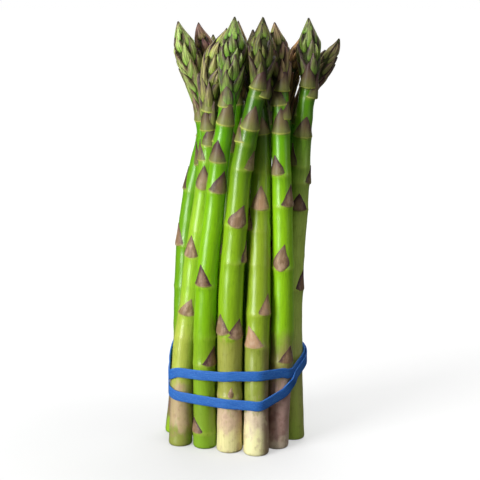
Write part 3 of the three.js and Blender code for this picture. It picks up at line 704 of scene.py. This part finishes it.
def spear_skin(name, row):
    """A material that reads the marks of skin_marks and one row of LOOKS. Masks are soft steps of a mark
    with some noise added: the stem is mixed upwards from its foot, leaves outwards from their middle."""
    shader = new_material(name, {"Coat Roughness": 0.25, "Specular IOR Level": 0.35})
    mix, tint, ease = shader.mix, shader.tint, shader.ease
    kind, height, along = (shader.attribute(key) for key in ("kind", "height", "along"))
    across, tone, lip = (shader.attribute(key) for key in ("across", "tone", "lip"))
    grain = shader.attribute("grain", "Vector")
    side = shader.node("ShaderNodeSeparateXYZ", {}, {0: grain}, "X")
    fibres = shader.noise(grain, (1, 1, 0.05), 2.2)
    clouds = shader.noise(grain, (1, 1, 0.4), 0.22)
    patches = shader.noise(grain, (1, 1, 0.6), 0.5)
    specks = shader.noise(grain, (1, 1, 1), 1.1)
    bruises = shader.noise(grain, (1, 1, 0.8), 0.28, 5.0)
    pores = shader.noise(grain, (1, 1, 0.5), 4.0, 2.0)

    level = height + (clouds - 0.5) * 0.09 + (patches - 0.5) * 0.04
    foot, blush, low = (row["levels"][k:k + 2] for k in (0, 2, 4))
    stem = mix(ease(level, *foot), row["foot"], row["blush"])
    stem = mix(ease(level, *blush), stem, row["low"])
    stem = mix(ease(level, *low), stem, row["green"])
    stem = mix(ease(height, 0.5, 0.82), stem, row["top"])
    # Low on the stem's right side: a brown of its own, darkened further as painted shade on the side away
    # from the light.
    browned_and_shaded = ease(side, 1.5, 5.5) * (1 - ease(level, 0.1, 0.36)) * row["side"]
    stem = mix(browned_and_shaded, stem, BROWNED_AND_SHADED)
    stem = mix(lip * 0.4, stem, LEDGE)
    butt = 1 - ease(level, 0.08, 0.2)
    stem = mix(butt * ease(bruises, 0.5, 0.68) * row["bruise"], stem, BRUISED)
    stem = mix(butt * ease(bruises, 0.42, 0.3) * row["bruise"] * 0.7, stem, row["foot"])
    stem = tint(ease(fibres, 0.62, 0.3) * (0.4 - butt * 0.22), stem, colour(196, 200, 160))
    stem = tint(ease(patches, 0.55, 0.75) * 0.35, stem, colour(190, 196, 120))
    stem = tint(ease(specks, 0.66, 0.78) * 0.3, stem, colour(180, 170, 110))
    is_leaf = ease(kind, 0.2, 0.3)
    inside = across * (1 - is_leaf)
    # Inside the head the core turns dark olive, partly painted shade between the bracts.
    stem = mix(inside, stem, SHADED_CORE)

    edge = ease(across + (specks - 0.5) * 0.7, 0.3, 1.0)
    dark = edge.larger(ease(along, 0.35, 1.0)) * 0.9 + (tone - 0.5) * 0.8 + (patches - 0.5) * 0.8
    young = ease(height, 0.55, 0.75)
    scale = mix(young * 0.5, row["scale"], YOUNG_SCALE)
    scale = mix(dark, scale, row["scale_edge"])
    faded = (1 - dark) * ease(patches, 0.42, 0.66) * (1 - young) * 0.6
    scale = mix(faded, scale, FADED)
    scale = mix((1 - ease(along, 0.05, 0.5)) * young * 0.5, scale, YOUNG_BASE)
    scale = mix((1 - ease(along, 0.015, 0.08)) * (0.3 + young * 0.5), scale, LEDGE)
    worn = edge.larger(ease(along, 0.58, 1.0)) * 0.95 + (tone - 0.5) * 0.7 + (patches - 0.5) * 1.1
    worn = worn + (1 - ease(height, 0.79, 0.94)) * 0.4
    bract = mix(worn, row["bract"], row["bract_edge"])
    bract = mix((1 - ease(along, 0.1, 0.55)) * 0.75, bract, row["bract_base"])
    # Painted shade: each bract darkens near its base, where the bracts above overlap it.
    bract = tint((1 - ease(along, 0.02, 0.16)) * 0.6, bract, colour(90, 84, 60))
    # Painted shade: a dark outline along each bract's edges stands for the shadowed gaps between bracts.
    bract = tint(ease(across, 0.72, 1.0) * 0.75, bract, colour(96, 84, 70))
    bract = tint(ease(fibres, 0.58, 0.36) * 0.75, bract, colour(130, 124, 96))
    leaf = mix(ease(kind, 0.7, 0.8), scale, bract)
    leaf = tint(ease(fibres, 0.58, 0.36) * 0.2, leaf, colour(150, 142, 120))

    wax = (0.56 - is_leaf * 0.48) * (1 - inside) * (0.35 + ease(pores, 0.42, 0.6) * 1.3)
    relief = fibres * (1 - is_leaf * 0.4) + specks * is_leaf * 0.8 + pores * 0.5
    shader.set(shader.main, {
        "Base Color": mix(is_leaf, stem, leaf),
        "Roughness": 0.36 + is_leaf * 0.16 + inside * 0.4 + (specks - 0.5) * 0.16,
        "Coat Weight": wax,
        "Normal": shader.bump(relief, 0.38, 0.00014),
    })
    return shader.owner


def look(bract, edge, base=(120, 160, 30), foot=(128, 160, 40), blush=(134, 168, 44),
         low=(140, 180, 36), green=(138, 192, 14), top=(92, 166, 4), scale=(140, 112, 82),
         scale_edge=(78, 50, 50), levels=(0.02, 0.06, 0.08, 0.14, 0.2, 0.34), side=0.0, bruise=0.0):
    """One row of LOOKS: screen colours of the head's bracts, of the stem from the cut upwards and of its
    scales. levels are the heights, as parts of 225 mm, over which foot turns to blush, blush to low and low
    to green. side is how brown the stem's right side is low down, a brown darkened partly as painted shade,
    and bruise how bruised its cut end is."""
    colours = {"bract": bract, "bract_edge": edge, "bract_base": base, "foot": foot, "blush": blush,
               "low": low, "green": green, "top": top, "scale": scale, "scale_edge": scale_edge}
    linear = {key: colour(*value) for key, value in colours.items()}
    return {**linear, "levels": levels, "side": side, "bruise": bruise}


LOOKS = [
    look((164, 128, 106), (116, 74, 80), (146, 140, 70), foot=(150, 190, 40), blush=(140, 110, 90),
         green=(112, 170, 12)),
    look((176, 172, 102), (128, 106, 96), (160, 190, 66), foot=(150, 158, 72),
         blush=(194, 172, 130), low=(186, 198, 82), green=(158, 204, 44),
         levels=(0.03, 0.06, 0.12, 0.17, 0.24, 0.4), side=0.2, bruise=0.4),
    look((186, 210, 116), (148, 120, 98), (150, 206, 72), green=(120, 180, 12)),
    look((152, 180, 86), (114, 96, 84), (126, 194, 50), foot=(134, 176, 42), green=(134, 194, 8)),
    look((170, 146, 92), (122, 92, 70), (170, 150, 80)),
    # Spear 6's darker top green is painted shade under its own head.
    look((116, 118, 58), (84, 62, 52), (110, 150, 42), foot=(238, 230, 166), blush=(220, 192, 160),
         low=(166, 170, 76), green=(142, 186, 26), top=(66, 116, 6),
         levels=(0.03, 0.085, 0.1, 0.14, 0.26, 0.29), side=0.3, bruise=0.35),
    # Spear 7's darker top green is painted shade, cast by spear 6 in front of it.
    look((96, 86, 56), (70, 50, 44), foot=(246, 240, 182), blush=(220, 202, 170),
         low=(150, 164, 64), green=(150, 180, 40), top=(62, 104, 10),
         levels=(0.03, 0.08, 0.1, 0.13, 0.24, 0.28), side=0.8, bruise=0.35, scale=(184, 146, 110)),
    look((176, 152, 106), (132, 98, 88), (156, 172, 78), foot=(236, 216, 190),
         blush=(208, 170, 158), low=(166, 162, 90), green=(148, 204, 18),
         levels=(0.01, 0.05, 0.13, 0.2, 0.22, 0.3), side=0.3, bruise=0.6),
    look((196, 152, 100), (126, 90, 64), (160, 140, 70)),
    # Spear 10's paler greens are painted light: lighter than its own green, standing in for light that the
    # spears in front keep off.
    look((148, 168, 86), (122, 100, 94), (128, 184, 50), foot=(180, 210, 84), blush=(194, 216, 98),
         low=(200, 214, 116), green=(188, 214, 94), top=(96, 160, 14), side=0.4),
    look((176, 166, 110), (134, 102, 96), (156, 174, 84)),
    *[look((130, 136, 70), (98, 78, 68))] * 3,
]
print("looks:", len(LOOKS))

# %% [markdown]
# ## Putting each spear in place
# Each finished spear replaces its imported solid, rides on the bundle's body and takes the asparagus
# finish.

# %% Putting each spear in place
PHASE_STEP, BRACT_SEED = 1.7, 100
triangles = 0
for number, (spear, spear_look) in enumerate(zip(SPEARS, LOOKS), start=1):
    surfaces = [stem_surface(spear, PHASE_STEP * number),
                scale_surface(spear, np.random.default_rng(number)),
                bract_surface(spear, np.random.default_rng(BRACT_SEED + number))]
    skin = spear_skin(f"skin_{number:02d}", spear_look)
    piece = add_spear(f"asparagus_{number:02d}", surfaces, skin)
    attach(piece, "root")
    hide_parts(f"spear_{number:02d}")
    triangles += sum(len(polygon.vertices) - 2 for polygon in piece.data.polygons)
print("triangles in the spears:", triangles)

# %% [markdown]
# ## The rubber band's route
# The band goes round twice. In each direction it touches the stem that reaches furthest that way, and
# runs straight to the next one, as a stretched band does. Its height follows a table of the two turns,
# and where the second turn crosses the first it lies one layer further out. Each row of the table is an
# angle round the bundle, a height and a layer.

# %% The rubber band's route
BAND_WIDTH, BAND_THICKNESS, BAND_GAP, BAND_LAYER = 5.2, 0.9, 0.35, 1.1
BAND_STOPS, KNOT_EVERY = 640, 8
BAND_ROUTE = np.array([
    [0, 42.6, 0], [32, 42.4, 0], [40, 40.6, 0], [62, 41, 0], [70, 45.2, 0], [90, 47.5, 0],
    [135, 50, 0], [180, 45, 0], [225, 41, 0], [270, 31.5, 0], [315, 28.8, 0], [350, 27, 0],
    [392, 27.2, 0], [400, 32.2, 0], [410, 34.4, 0.4], [422, 37.8, 1], [430, 43, 1], [450, 46, 1],
    [495, 51.5, 1], [540, 51.5, 1], [570, 50, 0], [600, 44.5, 0], [630, 37.6, 0], [675, 40, 0],
    [720, 42.6, 0]])


def band_touch(angle, height):
    """Centre and radius of the stem that reaches furthest in each direction, at the band's height there."""
    outward = np.stack([np.sin(np.radians(angle)), -np.cos(np.radians(angle))], -1)
    centres = np.stack([centre_at(spear, height)[:, :2] for spear in SPEARS])
    radii = np.stack([core_radius(spear, height) for spear in SPEARS])
    best = np.argmax((centres * outward).sum(-1) + radii, axis=0)
    rows = np.arange(len(angle))
    return centres[best, rows], radii[best, rows], outward


def band_line(stops):
    """Even stops along the band: place in plan, direction outwards, height. Between two stems the band is
    straight, and its height and layer rise evenly along the way."""
    angle = np.arange(0, 720.5, 1.0)
    centre, radius, outward = band_touch(angle, smooth_at(BAND_ROUTE[:, 0], BAND_ROUTE[:, 1], angle))
    plan = centre + outward * (radius + BAND_GAP)[:, None]
    length = np.concatenate([[0], np.cumsum(np.linalg.norm(np.diff(plan, axis=0), axis=1))])
    knots = np.arange(0, len(angle), KNOT_EVERY)
    even = np.linspace(0, length[-1], stops, endpoint=False)
    height = np.interp(even, length[knots], smooth_at(BAND_ROUTE[:, 0], BAND_ROUTE[:, 1], angle[knots]))
    layer = np.interp(even, length[knots], line_at(BAND_ROUTE[:, 0], BAND_ROUTE[:, 2], angle[knots]))
    out = unit(np.stack([np.interp(even, length, outward[:, axis]) for axis in (0, 1)], -1))
    place = np.stack([np.interp(even, length, plan[:, axis]) for axis in (0, 1)], -1)
    return place + out * (layer * BAND_LAYER)[:, None], out, height


def running_mean(values, half):
    """Each value of a closed loop averaged with its neighbours up to half steps away."""
    return sum(np.roll(values, step, axis=0) for step in range(-half, half + 1)) / (2 * half + 1)


place, out, height = band_line(BAND_STOPS)
height = running_mean(height, 5)
around = np.linalg.norm(np.diff(place, axis=0), axis=1).sum()
print("band length:", round(float(around)), "mm over two turns")

# %% [markdown]
# ## The rubber band
# Its section is a flat strip with rounded edges, carried along the route. The strip stands square to the
# route, so it tilts where the band climbs. The fine lines along the pull are left to its finish.

# %% The rubber band
SECTION, WIDTH_POWER, THICKNESS_POWER = 18, 0.35, 0.5


def band_surface(place, out, height):
    """Point = route + up * half width * c + out * half thickness * (1 + s), with c and s the cosine and sine
    pushed towards a rectangle. The loop is a ring of sections, closed on itself."""
    route = np.concatenate([place, height[:, None]], 1)
    along = unit(np.roll(route, -1, axis=0) - np.roll(route, 1, axis=0))
    outward = np.concatenate([out, np.zeros((len(out), 1))], 1)
    upward = unit(np.cross(outward, along))
    angle = np.linspace(0, 2 * np.pi, SECTION, endpoint=False)
    c = np.sign(np.cos(angle)) * np.abs(np.cos(angle)) ** WIDTH_POWER
    s = np.sign(np.sin(angle)) * np.abs(np.sin(angle)) ** THICKNESS_POWER
    points = (route[:, None] + upward[:, None] * (BAND_WIDTH / 2 * c)[None, :, None]
              + outward[:, None] * (BAND_THICKNESS / 2 * (1 + s))[None, :, None])
    travel = np.concatenate([[0], np.cumsum(np.linalg.norm(np.diff(route, axis=0), axis=1))])
    return points, travel, c


points, travel, across = band_surface(place, out, height)
stops = len(points)
ring = np.arange(stops)[:, None] * SECTION
ahead = (np.arange(stops)[:, None] + 1) % stops * SECTION
side = np.arange(SECTION)[None, :]
next_side = (side + 1) % SECTION
faces = np.stack([ring + side, ring + next_side, ahead + next_side, ahead + side], -1).reshape(-1, 4)
grain = np.stack(np.broadcast_arrays(across * BAND_WIDTH / 2, 0, travel[:, None]), -1)
print("band faces:", len(faces))

# %% [markdown]
# ## The finish of the rubber
# Stretched rubber is matt, with faint lines along the pull and a dusty bloom.

# %% The finish of the rubber
rubber = new_material("blue_rubber", {"Specular IOR Level": 0.35})
band_grain = rubber.attribute("grain", "Vector")
pull = rubber.noise(band_grain, (1, 1, 0.02), 7.0)
dust = rubber.noise(band_grain, (1, 1, 0.5), 1.8)
blue = rubber.mix(rubber.ease(pull, 0.3, 0.7), colour(14, 78, 166), colour(52, 118, 194))
rubber.set(rubber.main, {
    "Base Color": rubber.mix(rubber.ease(dust, 0.45, 0.75) * 0.35, blue, colour(96, 146, 206)),
    "Roughness": 0.55 + dust * 0.2,
    "Normal": rubber.bump(pull, 0.5, 0.0001),
})
band = add_mesh("band", points.reshape(-1, 3), faces.tolist(), {"grain": grain.reshape(-1, 3)}, rubber.owner)
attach(band, "root")
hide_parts("rubber_band")
print("rubber nodes:", len(rubber.tree.nodes))

# %% [markdown]
# ## Floor, light and camera
# The bundle stands on a plain white floor that gives off light of its own, a little less of it near the
# bundle, so that a soft shadow shows there, and less again beside the bundle's left foot as a painted
# shadow. A tall soft light from the left front draws the long highlights down the stems. A wide one
# overhead lights the heads and the floor, and weaker ones from the right and from behind keep the other
# sides from going black. The camera looks slightly down at the bundle from the front.

# %% Floor and surroundings
FLOOR, STUDIO_LIGHT, LEFT_FOOT = 6000, 0.07, (-0.07, -0.02, 0)


def grey(level):
    """A plain grey in linear light."""
    return (level, level, level, 1)


paper = new_material("white_floor", {"Roughness": 0.9, "Emission Color": (1, 1, 1, 1),
                                     "Emission Strength": 1.0})
spot = paper.node("ShaderNodeTexCoord", {}, {}, "Object")
away = paper.node("ShaderNodeVectorMath", {"operation": "LENGTH"}, {0: spot}, "Value")
near = 1 - paper.ease(away, 0.12, 0.5)
# A painted shadow: the floor's glow drops from 0.48 to 0.38 beside the bundle's left foot.
to_left = paper.node("ShaderNodeVectorMath", {"operation": "DISTANCE"}, {0: spot, 1: LEFT_FOOT}, "Value")
glow_with_painted_shadow = paper.mix(1 - paper.ease(to_left, 0.02, 0.16), grey(0.48), grey(0.38))
paper.set(paper.main, {
    "Base Color": paper.mix(near, grey(0), grey(0.4)),
    "Emission Color": paper.mix(near, grey(1), glow_with_painted_shadow),
})
corners = FLOOR * np.array([(-1, -1, 0), (1, -1, 0), (1, 1, 0), (-1, 1, 0)])
floor = add_mesh("floor", corners, [(0, 1, 2, 3)], {}, paper.owner)
floor.visible_diffuse, floor.visible_glossy = False, False

world = Shader(bpy.data.worlds.new("studio"), "Background", {"Color": grey(1)})
seen = world.node("ShaderNodeLightPath", {}, {}, "Is Camera Ray")
world.set(world.main, {"Strength": STUDIO_LIGHT + seen * (1 - STUDIO_LIGHT)})
bpy.context.scene.world = world.owner
bpy.context.scene.view_settings.view_transform = "Standard"
print("floor nodes:", len(paper.tree.nodes))

# %% Lights
def soft_light(name, place, target, width, tall, watts):
    """A rectangular light at a place in metres, turned to face the target."""
    data = bpy.data.lights.new(name, "AREA")
    data.shape, data.size, data.size_y, data.energy = "RECTANGLE", width, tall, watts
    lamp = add_object(name, data)
    lamp.location = place
    away = np.array(place) - np.array(target)
    flat = math.hypot(away[0], away[1])
    lamp.rotation_euler = (math.atan2(flat, away[2]), 0, math.atan2(away[0], -away[1]))
    return lamp


LIGHTS = [("window", (-0.85, -0.72, 0.4), (0, 0, 0.12), 0.52, 1.1, 20.5),
          ("top", (0, -0.1, 1.6), (0, 0, 0), 1.6, 1.6, 21),
          ("fill", (0.9, -0.5, 0.4), (0, 0, 0.12), 0.5, 0.8, 1.4),
          ("back", (0.2, 1.0, 0.5), (0, 0, 0.1), 1.4, 0.9, 9)]
lamps = [soft_light(*light) for light in LIGHTS]
print("lights:", [lamp.name for lamp in lamps])

# %% Camera
CAMERA_PIXELS, FRAME_PIXELS, SENSOR = 1375, 480, 36
CAMERA_AWAY, CAMERA_HEIGHT, CAMERA_DROP = 700, 255, 145
camera_data = bpy.data.cameras.new("camera")
camera_data.sensor_width = SENSOR
camera_data.lens = CAMERA_PIXELS / FRAME_PIXELS * SENSOR
camera = add_object("camera", camera_data)
camera.location = (-MIDDLE[0] * MM, (-CAMERA_AWAY - MIDDLE[1]) * MM, CAMERA_HEIGHT * MM)
camera.rotation_euler = (math.pi / 2 - math.atan2(CAMERA_DROP, CAMERA_AWAY), 0, 0)
bpy.context.scene.camera = camera
print("lens:", round(camera_data.lens, 1), "mm")
